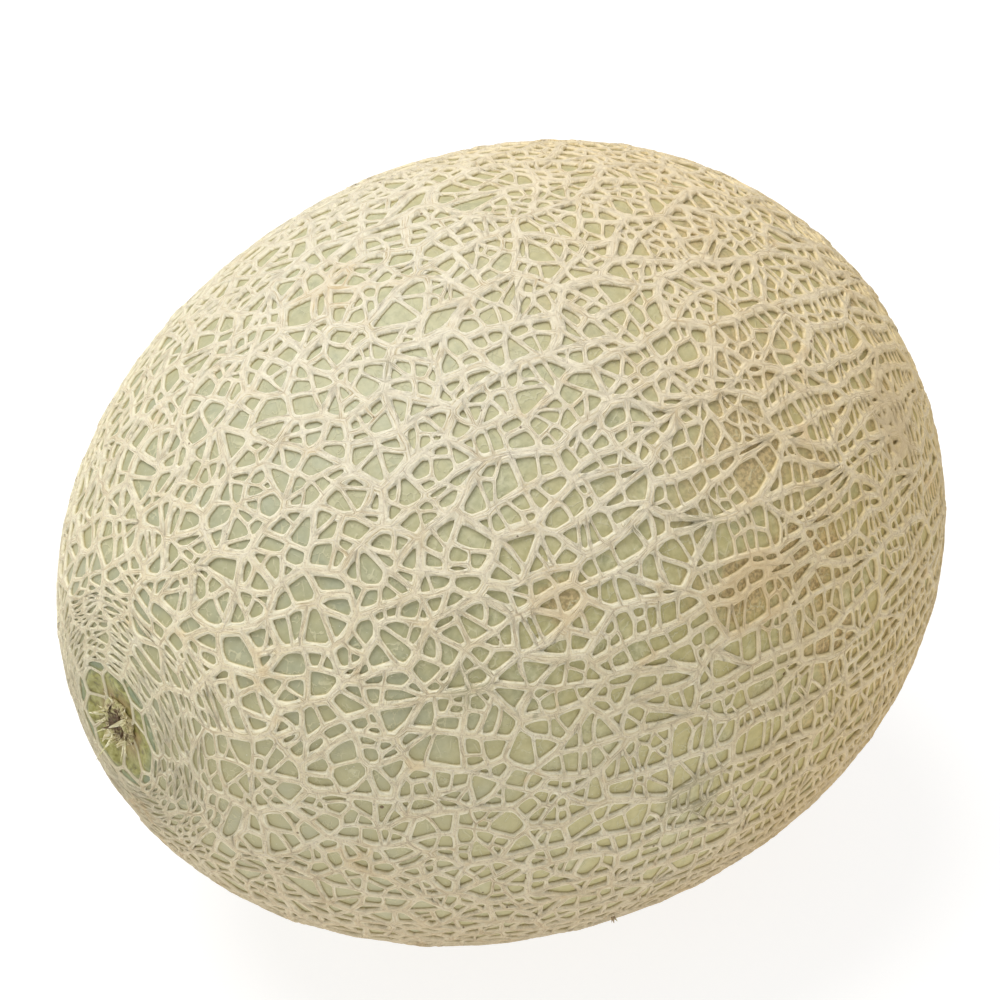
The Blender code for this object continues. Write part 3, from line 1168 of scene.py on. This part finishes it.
# %% The scar's finish
SCAR_SHADES = ((0.36, (0.17, 0.15, 0.035)), (0.50, (0.33, 0.31, 0.085)), (0.64, (0.45, 0.43, 0.18)))
SCAR_FLUSH = (0.46, 0.30, 0.15)
SCAR_RIM = (0.22, 0.27, 0.17)
SCAR_WAX = (0.64, 0.63, 0.38)


def make_scar_finish():
    material, tree, shader = new_material("scar_tissue")
    place = object_place(tree)
    off_axis_here = effect(tree, "places", Place=place)["Off Axis"]
    cloud = cloud_of(tree, place, 1.3, 2.0)
    colour = shades(tree, cloud, SCAR_SHADES)
    flush = patches(tree, place, 3.0, 5.0, 0.45, 0.10)
    flush = times(tree, rise(tree, off_axis_here, 9.0 * MM, 4.0 * MM), flush)
    colour = stain(tree, colour, flush, 0.70, SCAR_FLUSH)
    colour = stain(tree, colour, rise(tree, off_axis_here, 9.8 * MM, 12.2 * MM), 0.75, SCAR_RIM)
    colour = stain(tree, colour, fleck(tree, place, 0.8, 0.2, 0.3), 0.4, SCAR_WAX)
    wire(tree, shader, colour, gloss(tree, cloud, 0.45, 0.68), cloud, strength=0.7, depth=0.5 * MM)
    return material


# %% [markdown]
# The torn stalk is dry fibre: cream on the shards, brown on the ring they stand in, and nearly black
# down the hollow. One function makes all of these from a dark and a pale colour. Its streaks run along
# the stalk, because the noise is stretched that way.

# %% The stalk's finishes
FIBRE_GREEN = (0.55, 0.55, 0.22)
HOLLOW_BLACK = (0.05, 0.03, 0.015)
STREAK_WIDTH = 0.55 * MM
STREAK_STRETCH = (0.25, 1.0, 1.0)


def make_fibre_finish(name, dark, pale, hollow):
    """Dry fibre. Inside the hollow's radius, in mm, it darkens to near black."""
    material, tree, shader = new_material(name)
    place = object_place(tree)
    stretched = reckon_vector(tree, "MULTIPLY", grow(tree, place, STREAK_WIDTH), STREAK_STRETCH)
    inputs = {"Vector": stretched, "Scale": 1.0, "Detail": 3.0}
    streak = put(tree, "ShaderNodeTexNoise", inputs).outputs["Fac"]
    colour = shades(tree, streak, ((0.34, dark), (0.58, pale)))
    colour = stain(tree, colour, patches(tree, place, 2.2, 6.0, 0.56), 0.45, FIBRE_GREEN)
    inside = rise(tree, effect(tree, "places", Place=place)["Off Axis"], hollow * MM, 0.55 * hollow * MM)
    colour = stain(tree, colour, inside, 0.9, HOLLOW_BLACK)
    wire(tree, shader, colour, rise(tree, streak, 1.3, 0.2), streak, strength=0.8, depth=0.4 * MM)
    return material


scar_finish = make_scar_finish()
fibre_finish = make_fibre_finish("torn_fibre", (0.52, 0.43, 0.20), (0.93, 0.88, 0.62), 1.2)
base_finish = make_fibre_finish("torn_base", (0.14, 0.09, 0.04), (0.58, 0.50, 0.28), 2.9)
pith_finish = make_fibre_finish("dark_pith", (0.06, 0.035, 0.015), (0.16, 0.10, 0.05), 1.0)
dry_nub_finish = make_fibre_finish("dry_nub", (0.20, 0.13, 0.07), (0.48, 0.36, 0.22), 0.5)
print("finishes:", [m.name for m in (scar_finish, fibre_finish, base_finish, pith_finish, dry_nub_finish)])

# %% [markdown]
# ## A flat map for each band
#
# When the finishes are baked to images, each band needs a flat map. An automatic unwrap would break a
# lattice into thousands of scraps. The melon's own coordinates give a better one. A band in the middle
# is a ring, so it is cut across into strips that are stacked like the rows of a page; the two end bands
# are caps, and they are laid flat round their pole. The hidden underside goes into a small corner.

# %% Strips for a ring, a disc for a cap
MAP_MARGIN = 2.6 * MM
UNDER_SHARE = 0.07


def ring_map(turn, around, face_around, hidden):
    """Rows of strips: where a corner lies depends on its face's strip, so no face is torn."""
    tall = (turn.max() - turn.min()) * HALF_LENGTH
    strips = max(1, round(math.sqrt(2.0 * math.pi * BODY_RADIUS / tall)))
    strip = np.clip(((face_around + math.pi) / (2.0 * math.pi) * strips).astype(int), 0, strips - 1)
    off_face = (around - face_around + math.pi) % (2.0 * math.pi) - math.pi
    local = face_around + off_face + math.pi - strip * 2.0 * math.pi / strips
    strip_length = 2.0 * math.pi / strips * BODY_RADIUS
    u = (local * BODY_RADIUS + MAP_MARGIN) / (strip_length + 2.0 * MAP_MARGIN)
    down = 0.02 + 0.96 * (turn - turn.min()) / (turn.max() - turn.min())
    v = UNDER_SHARE + (1.0 - UNDER_SHARE) * (strip + down) / strips
    whole = (face_around + off_face + math.pi) / (2.0 * math.pi)
    return np.where(hidden, 0.02 + 0.96 * whole, u), np.where(hidden, UNDER_SHARE * down, v)


def cap_map(from_pole, around, hidden):
    """A disc round the pole, with the underside as a small disc in the square's corner."""
    share = from_pole / from_pole.max()
    radius = np.where(hidden, UNDER_SHARE, 0.49) * share
    middle = np.where(hidden, UNDER_SHARE + 0.005, 0.5)
    return middle + radius * np.sin(around), middle + radius * np.cos(around)


def lay_flat(mesh, number):
    """Writes the map of one band, for each corner of each face."""
    places = values_of(mesh.vertices, "co", 3) - np.array(BODY_MIDDLE)
    under = values_of(mesh.attributes["under"].data, "value")
    corner = values_of(mesh.loops, "vertex_index", kind=np.int32)
    sizes = values_of(mesh.polygons, "loop_total", kind=np.int32)
    face = np.repeat(np.arange(len(sizes)), sizes)
    middles = np.stack([np.bincount(face, places[corner, axis]) / sizes for axis in range(3)], axis=1)
    hidden = (np.bincount(face, under[corner]) > 0.0)[face]
    turn, around = turn_and_round(places)
    _, face_around = turn_and_round(middles)
    if number in (0, BAND_COUNT - 1):
        from_pole = turn[corner] if number else math.pi - turn[corner]
        u, v = cap_map(from_pole, around[corner], hidden)
    else:
        u, v = ring_map(turn[corner], around[corner], face_around[face], hidden)
    layer = mesh.uv_layers.new(name="OFBake")
    layer.data.foreach_set("uv", np.stack([u, v], axis=1).astype(np.float32).ravel())


# %% [markdown]
# ## Making the bands
#
# Everything for a band is ready, so a loop makes them one by one, from the stalk to the blossom. The
# shape of the cork comes last, when the band is a mesh, because numpy then moves all of its points in
# one go.

# %% Make the bands
for number in range(BAND_COUNT):
    sheet = close_and_cut(band_sheet(number))
    bmesh.ops.recalc_face_normals(sheet, faces=sheet.faces)
    band = finished_object(f"net_band_{number + 1}", sheet, cork)
    shape_cork(band.data)
    lay_flat(band.data, number)

# %% [markdown]
# ## The skin
#
# The skin under the net is the outline turned all the way round. A sphere could be scaled to fit, but
# spinning the outline follows it exactly. It sits a little deeper than the plain solid, so that the net
# on top comes out at the right size, and it is held up off the table where the melon rests.

# %% Turn the skin
SKIN_RINGS = 150
SKIN_SIDES = 200


def spun(line_places, sides):
    """Spins a line of places, which starts and ends on the X axis, all the way round it."""
    shape = bmesh.new()
    line = [shape.verts.new(place) for place in line_places]
    edges = [shape.edges.new(pair) for pair in zip(line, line[1:])]
    bmesh.ops.spin(
        shape,
        geom=line + edges,
        cent=(0.0, 0.0, 0.0),
        axis=(1.0, 0.0, 0.0),
        angle=2.0 * math.pi,
        steps=sides,
        use_merge=True,
    )
    bmesh.ops.remove_doubles(shape, verts=shape.verts, dist=1e-6)
    bmesh.ops.recalc_face_normals(shape, faces=shape.faces)
    return shape


def to_axis(places):
    """The places with their first and last moved exactly onto the axis."""
    places[0, 1:] = 0.0
    places[-1, 1:] = 0.0
    return places


skin_turns = np.linspace(0.0, math.pi, SKIN_RINGS + 1)
skin_line = on_body(skin_turns, np.zeros(SKIN_RINGS + 1), np.full(SKIN_RINGS + 1, SKIN_LEVEL))
skin = spun(to_axis(skin_line), SKIN_SIDES)
for vertex in skin.verts:
    vertex.co.z = max(vertex.co.z, TABLE_LEVEL + 2.0 * FOOT_SUNK)
bmesh.ops.translate(skin, vec=BODY_MIDDLE, verts=skin.verts)
skin = finished_object("skin", skin, skin_finish)
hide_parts("fruit")

# %% [markdown]
# ## The pads of the scar
#
# Round the stalk the scar swelled up between its cracks into a ring of plump wedges. They are one thin
# cap, spun like the skin and closed underneath. Each point then rises by how far it is from the nearest
# crack, and the cracks are the strands of the net that already cross the scar.

# %% Spin the cap and raise its pads
PAD_LEVEL = -0.30 * MM
PAD_RISE = 0.75 * MM
PAD_INNER = (3.2 * MM, 5.6 * MM)
PAD_OUTER = (10.2 * MM, 12.6 * MM)
PAD_UNDER = -1.1 * MM
PAD_RINGS = 40
PAD_UNDER_STEP = 8
PAD_SIDES = 168
PAD_ROUNDNESS = 0.7
PAD_WRINKLE = 0.16 * MM
PAD_WRINKLE_SIZE = 1.4 * MM
CRACK_WIDTH = (0.55 * MM, 2.3 * MM)


def side_line(turns, height):
    """The melon's side over some turns, at a height above the plain solid."""
    return on_body(turns, np.zeros(len(turns)), np.full(len(turns), height))


pad_turns = np.linspace(math.pi, pole_turn(PAD_OUTER[1]), PAD_RINGS)
pad_top = side_line(pad_turns, PAD_LEVEL)
pad_under = side_line(pad_turns[::-PAD_UNDER_STEP], PAD_UNDER)
pads = spun(to_axis(np.vstack([pad_top, pad_under])), PAD_SIDES)
cracks = points[(points[:, 0] < 0.0) & (np.hypot(points[:, 1], points[:, 2]) < 1.3 * SCAR_RADIUS)]
for vertex in pads.verts:
    if vertex.co.x > pad_top[-1][0] + 0.1 * MM:
        continue
    distance = off_axis(vertex.co)
    gap = np.hypot(cracks[:, 1] - vertex.co.y, cracks[:, 2] - vertex.co.z).min()
    swell = float(smooth_step(*CRACK_WIDTH, gap) ** PAD_ROUNDNESS)
    swell *= float(smooth_step(*PAD_INNER, distance)) * (1.0 - float(smooth_step(*PAD_OUTER, distance)))
    wrinkle = PAD_WRINKLE * noise.noise(vertex.co / PAD_WRINKLE_SIZE)
    vertex.co.x -= PAD_RISE * swell + wrinkle * min(1.0, distance / MM)
bmesh.ops.translate(pads, vec=BODY_MIDDLE, verts=pads.verts)
bmesh.ops.recalc_face_normals(pads, faces=pads.faces)
scar_pads = finished_object("scar_pads", pads, scar_finish)

# %% [markdown]
# ## The torn stalk
#
# The stalk tore off and left a low dark ring of fibre round a hollow. The ring's body is spun, and a
# noise then pushes its points about, more the further they stand off the axis, so that it comes out
# ragged without losing its middle.

# %% The ring that the fibres stand in
CROWN_LINE = (
    (0.0, 0.0),
    (0.0, 1.6),
    (0.3, 2.2),
    (0.6, 2.7),
    (0.6, 3.2),
    (0.4, 3.9),
    (0.1, 4.6),
    (-0.6, 5.0),
    (-0.6, 0.0),
)
CROWN_SIDES = 72
CROWN_LUMP = 1.7 * MM
CROWN_RAGGED = 0.34 * MM
PUSH_ALONG = 1.6
CALM_MIDDLE = 1.5 * MM

scar_floor = Vector((stub_high.x, BODY_MIDDLE.y, BODY_MIDDLE.z))


def standing_line(line):
    """A line of (height, radius) pairs in mm, as places that stand out from the stalk's end."""
    return [(-height * MM, 0.0, radius * MM) for height, radius in line]


def ragged(shape, size, amount):
    """Pushes points along the axis and sideways by a noise, more the further they stand out."""
    for vertex in shape.verts:
        push = noise.noise_vector(vertex.co / size) * amount * min(1.0, off_axis(vertex.co) / CALM_MIDDLE)
        vertex.co += Vector((PUSH_ALONG * push.x, push.y, push.z))


def make_crown():
    crown = spun(standing_line(CROWN_LINE), CROWN_SIDES)
    bmesh.ops.subdivide_edges(crown, edges=crown.edges[:], cuts=1)
    ragged(crown, CROWN_LUMP, CROWN_RAGGED)
    bmesh.ops.recalc_face_normals(crown, faces=crown.faces)
    bmesh.ops.translate(crown, vec=scar_floor, verts=crown.verts)
    return finished_object("stalk_crown", crown, base_finish)


# %% [markdown]
# The fibres are shards. One could be a cone, but torn fibre is flat and curls. So each is a small flat
# outline extruded in a few steps, and each step leans a little further and gets narrower. The face
# that a step grew from would stay inside the shard, so it is taken away.

# %% One shard
SHARD_STEPS = 4
SHARD_CORNERS = 6
FIRST_NARROWING = 0.92
MORE_NARROWING = 0.17


def add_shard(shape, root, way, length, width, thickness, curl):
    side = way.cross(Vector((1.0, 0.2, 0.1))).normalized()
    other = way.cross(side).normalized()
    made = bmesh.ops.create_circle(shape, cap_ends=True, radius=0.5, segments=SHARD_CORNERS)
    for vertex in made["verts"]:
        flat = vertex.co.copy()
        vertex.co = root + side * flat.x * width + other * flat.y * thickness
    tip = [face for face in made["verts"][0].link_faces]
    for step in range(SHARD_STEPS):
        grown = bmesh.ops.extrude_face_region(shape, geom=tip)
        if step:
            bmesh.ops.delete(shape, geom=tip, context="FACES_ONLY")
        points = [item for item in grown["geom"] if isinstance(item, bmesh.types.BMVert)]
        tip = [item for item in grown["geom"] if isinstance(item, bmesh.types.BMFace)]
        way = (way + curl / SHARD_STEPS).normalized()
        bmesh.ops.translate(shape, vec=way * length / SHARD_STEPS, verts=points)
        middle = sum((p.co for p in points), Vector()) / len(points)
        narrow = FIRST_NARROWING - MORE_NARROWING * step
        for point in points:
            point.co = middle + (point.co - middle) * narrow


# %% A ring of torn shards
SHARD_THICKNESS = 0.16 * MM
SHARD_SUNK = 0.1 * MM
OUT_OF_SCAR = Vector((-1.0, 0.0, 0.0))

stalk_random = random.Random(31)


def random_way():
    return Vector([stalk_random.uniform(-1.0, 1.0) for _ in range(3)])


def tear(shape, count, reach, lengths, widths, lean):
    """Sets torn shards round the hollow, from the first to the second distance off the axis."""
    for _ in range(count):
        around = stalk_random.uniform(-math.pi, math.pi)
        outward = Vector((0.0, math.sin(around), math.cos(around)))
        root = scar_floor + outward * stalk_random.uniform(*reach) * MM + OUT_OF_SCAR * SHARD_SUNK
        way = OUT_OF_SCAR + outward * stalk_random.uniform(*lean) + 0.35 * random_way()
        length = stalk_random.uniform(*lengths) * MM
        width = stalk_random.uniform(*widths) * MM
        add_shard(shape, root, way.normalized(), length, width, SHARD_THICKNESS, 0.5 * random_way())


# %% [markdown]
# Wide pale shards lean over the hollow, thin ones splay outwards, and a few long fibres stick out past
# the lip of the scar. The hollow has a wall of its own, a little out of round, with dark shards of pith.

# %% Crown, shards and hollow
WIDE_SHARDS = (13, (2.6, 4.0), (2.2, 4.0), (1.0, 2.0), (-0.6, 1.2))
THIN_SHARDS = (16, (3.4, 4.8), (1.8, 3.2), (0.3, 0.7), (1.6, 3.6))
PITH_SHARDS = (18, (1.6, 3.4), (1.4, 3.0), (0.3, 0.9), (0.2, 1.8))
LONG_FIBRES = ((2.82, 2.4, 8.6), (2.35, 1.8, 4.2), (-0.9, 1.1, 3.4), (-2.6, 1.6, 3.8))
LONG_FIBRE_ROOT = 3.9 * MM
LONG_FIBRE_WIDTH = 0.55 * MM
LONG_FIBRE_THICKNESS = 0.25 * MM
LONG_FIBRE_CURL = Vector((0.1, 0.2, -0.2))
HOLLOW_LINE = ((0.30, 0.0), (0.30, 1.3), (0.55, 2.3), (0.80, 2.9), (0.30, 3.1), (-0.2, 3.1), (-0.2, 0.0))
HOLLOW_SIDES = 40
HOLLOW_LUMP = 0.8 * MM
HOLLOW_RAGGED = 0.20 * MM
HOLLOW_STRETCH = (1.0, 0.78, 1.22)


def make_shards():
    shards = bmesh.new()
    tear(shards, *WIDE_SHARDS)
    tear(shards, *THIN_SHARDS)
    for around, lean, length in LONG_FIBRES:
        outward = Vector((0.0, math.sin(around), math.cos(around)))
        way = (OUT_OF_SCAR + outward * lean).normalized()
        root = scar_floor + outward * LONG_FIBRE_ROOT
        add_shard(shards, root, way, length * MM, LONG_FIBRE_WIDTH, LONG_FIBRE_THICKNESS, LONG_FIBRE_CURL)
    bmesh.ops.recalc_face_normals(shards, faces=shards.faces)
    return finished_object("stalk_fibres", shards, fibre_finish)


def make_hollow():
    hollow = spun(standing_line(HOLLOW_LINE), HOLLOW_SIDES)
    ragged(hollow, HOLLOW_LUMP, HOLLOW_RAGGED)
    bmesh.ops.scale(hollow, vec=HOLLOW_STRETCH, verts=hollow.verts)
    bmesh.ops.translate(hollow, vec=scar_floor, verts=hollow.verts)
    tear(hollow, *PITH_SHARDS)
    bmesh.ops.recalc_face_normals(hollow, faces=hollow.faces)
    return finished_object("stalk_hollow", hollow, pith_finish)


crown = make_crown()
shards = make_shards()
hollow = make_hollow()
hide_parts("stem_remnant")

# %% [markdown]
# ## The dry nub at the blossom end
#
# The flower left a small dry button at the other end, folded like a star. It is spun, and its folds are
# pressed in by a cosine of the angle, deepest near its rim.

# %% Make the button
BUTTON_LINE = ((0.15, 0.0), (0.45, 0.8), (0.75, 1.5), (0.55, 2.2), (0.10, 2.7), (-0.8, 2.8), (-0.8, 0.0))
BUTTON_SIDES = 60
BUTTON_FOLDS = 5
FOLD_DEPTH = 0.30 * MM
FOLD_REACH = (0.3 * MM, 1.2 * MM)
BUTTON_LUMP = 0.9 * MM
BUTTON_RAGGED = 0.12 * MM

button_foot = Vector((fruit_high.x - DIMPLE_DEPTH, BODY_MIDDLE.y, BODY_MIDDLE.z))
button = spun([(height * MM, 0.0, radius * MM) for height, radius in BUTTON_LINE], BUTTON_SIDES)
for vertex in button.verts:
    fold = 0.5 + 0.5 * math.cos(BUTTON_FOLDS * math.atan2(vertex.co.y, vertex.co.z))
    vertex.co.x -= FOLD_DEPTH * fold * float(smooth_step(*FOLD_REACH, off_axis(vertex.co)))
ragged(button, BUTTON_LUMP, BUTTON_RAGGED)
bmesh.ops.recalc_face_normals(button, faces=button.faces)
bmesh.ops.translate(button, vec=button_foot, verts=button.verts)
blossom_button = finished_object("blossom_button", button, dry_nub_finish)

# %% [markdown]
# ## The dry speck
#
# A crumb of dry leaf is stuck low on the flank. Three short shards from one root are enough for it.

# %% Make the speck
SPECK_TURN = math.radians(100.0)
SPECK_AROUND = math.radians(-128.0)
SPECK_SHARDS = ((0.0, 0.0, -0.3), (0.3, 0.2, 0.0), (-0.2, 0.1, 0.2))
SPECK_LENGTH = 1.7 * MM
SPECK_WIDTH = 1.0 * MM
SPECK_THICKNESS = 0.5 * MM

speck = bmesh.new()
speck_root = skin_point(SPECK_TURN, SPECK_AROUND) + BODY_MIDDLE
speck_way = skin_point(SPECK_TURN, SPECK_AROUND).normalized()
for sway in SPECK_SHARDS:
    way = (speck_way + Vector(sway)).normalized()
    add_shard(speck, speck_root, way, SPECK_LENGTH, SPECK_WIDTH, SPECK_THICKNESS, Vector(sway))
bmesh.ops.recalc_face_normals(speck, faces=speck.faces)
dry_speck = finished_object("dry_speck", speck, dry_nub_finish)

# %% [markdown]
# ## Floor, light and camera
#
# The melon lies on a pale table in a bright room. One very soft sun from above gives it shape, the
# white world fills the shadows, and the table is faintly lit from inside, like a light table, so that
# only a pale shadow is left under the melon. The camera stands well back with a long lens.

# %% The table
WHITE = (1.0, 1.0, 1.0, 1.0)
TABLE_REACH = 6.0
TABLE_GLOW = 0.80

floor_shape = bmesh.new()
bmesh.ops.create_grid(floor_shape, x_segments=1, y_segments=1, size=TABLE_REACH)
floor_mesh = bpy.data.meshes.new("floor")
floor_shape.to_mesh(floor_mesh)
floor_shape.free()
floor = bpy.data.objects.new("floor", floor_mesh)
bpy.context.scene.collection.objects.link(floor)
floor_material, _, floor_shader = new_material("pale_floor")
floor_shader.inputs["Base Color"].default_value = (0.30, 0.30, 0.30, 1.0)
floor_shader.inputs["Roughness"].default_value = 0.9
floor_shader.inputs["Emission Color"].default_value = WHITE
floor_shader.inputs["Emission Strength"].default_value = TABLE_GLOW
floor_mesh.materials.append(floor_material)

# %% The light
ROOM_LIGHT = 0.50
SUN_WAY = (-0.20, 0.32, 1.1)
SUN_STRENGTH = 2.36
SUN_SOFTNESS = math.radians(42.0)

world = bpy.data.worlds.new("studio")
bpy.context.scene.world = world
world.use_nodes = True
world.node_tree.nodes["Background"].inputs["Color"].default_value = WHITE
world.node_tree.nodes["Background"].inputs["Strength"].default_value = ROOM_LIGHT
sun_data = bpy.data.lights.new("key_light", "SUN")
sun_data.angle = SUN_SOFTNESS
sun_data.energy = SUN_STRENGTH
sun = bpy.data.objects.new("key_light", sun_data)
bpy.context.scene.collection.objects.link(sun)
sun.rotation_euler = Vector(SUN_WAY).to_track_quat("Z", "Y").to_euler()
sun_height = math.degrees(math.asin(Vector(SUN_WAY).normalized().z))
print("sun height above the table, degrees:", round(sun_height, 1))

# %% The camera
VIEW_AZIMUTH = math.radians(-35.5)
VIEW_ELEVATION = math.radians(40.0)
VIEW_DISTANCE = 1.9
VIEW_WIDTH = 192.8 * MM
AIM_UP = 8.8 * MM
AIM_LEFT = 0.54 * MM
SENSOR_WIDTH = 36.0

back = Vector(
    (
        math.sin(VIEW_AZIMUTH) * math.cos(VIEW_ELEVATION),
        -math.cos(VIEW_AZIMUTH) * math.cos(VIEW_ELEVATION),
        math.sin(VIEW_ELEVATION),
    )
)
camera_data = bpy.data.cameras.new("camera")
camera = bpy.data.objects.new("camera", camera_data)
bpy.context.scene.collection.objects.link(camera)
bpy.context.scene.camera = camera
camera_data.sensor_width = SENSOR_WIDTH
camera_data.lens = SENSOR_WIDTH * VIEW_DISTANCE / VIEW_WIDTH
camera_data.clip_start = 0.05
camera_data.clip_end = 20.0
camera.rotation_mode = "QUATERNION"
camera.rotation_quaternion = (-back).to_track_quat("-Z", "Y")
up = camera.rotation_quaternion @ Vector((0, 1, 0))
right = camera.rotation_quaternion @ Vector((1, 0, 0))
aim = BODY_MIDDLE + up * AIM_UP - right * AIM_LEFT
camera.location = aim + back * VIEW_DISTANCE
bpy.context.scene.view_settings.view_transform = "Standard"
print("lens, mm:", round(camera_data.lens, 1))
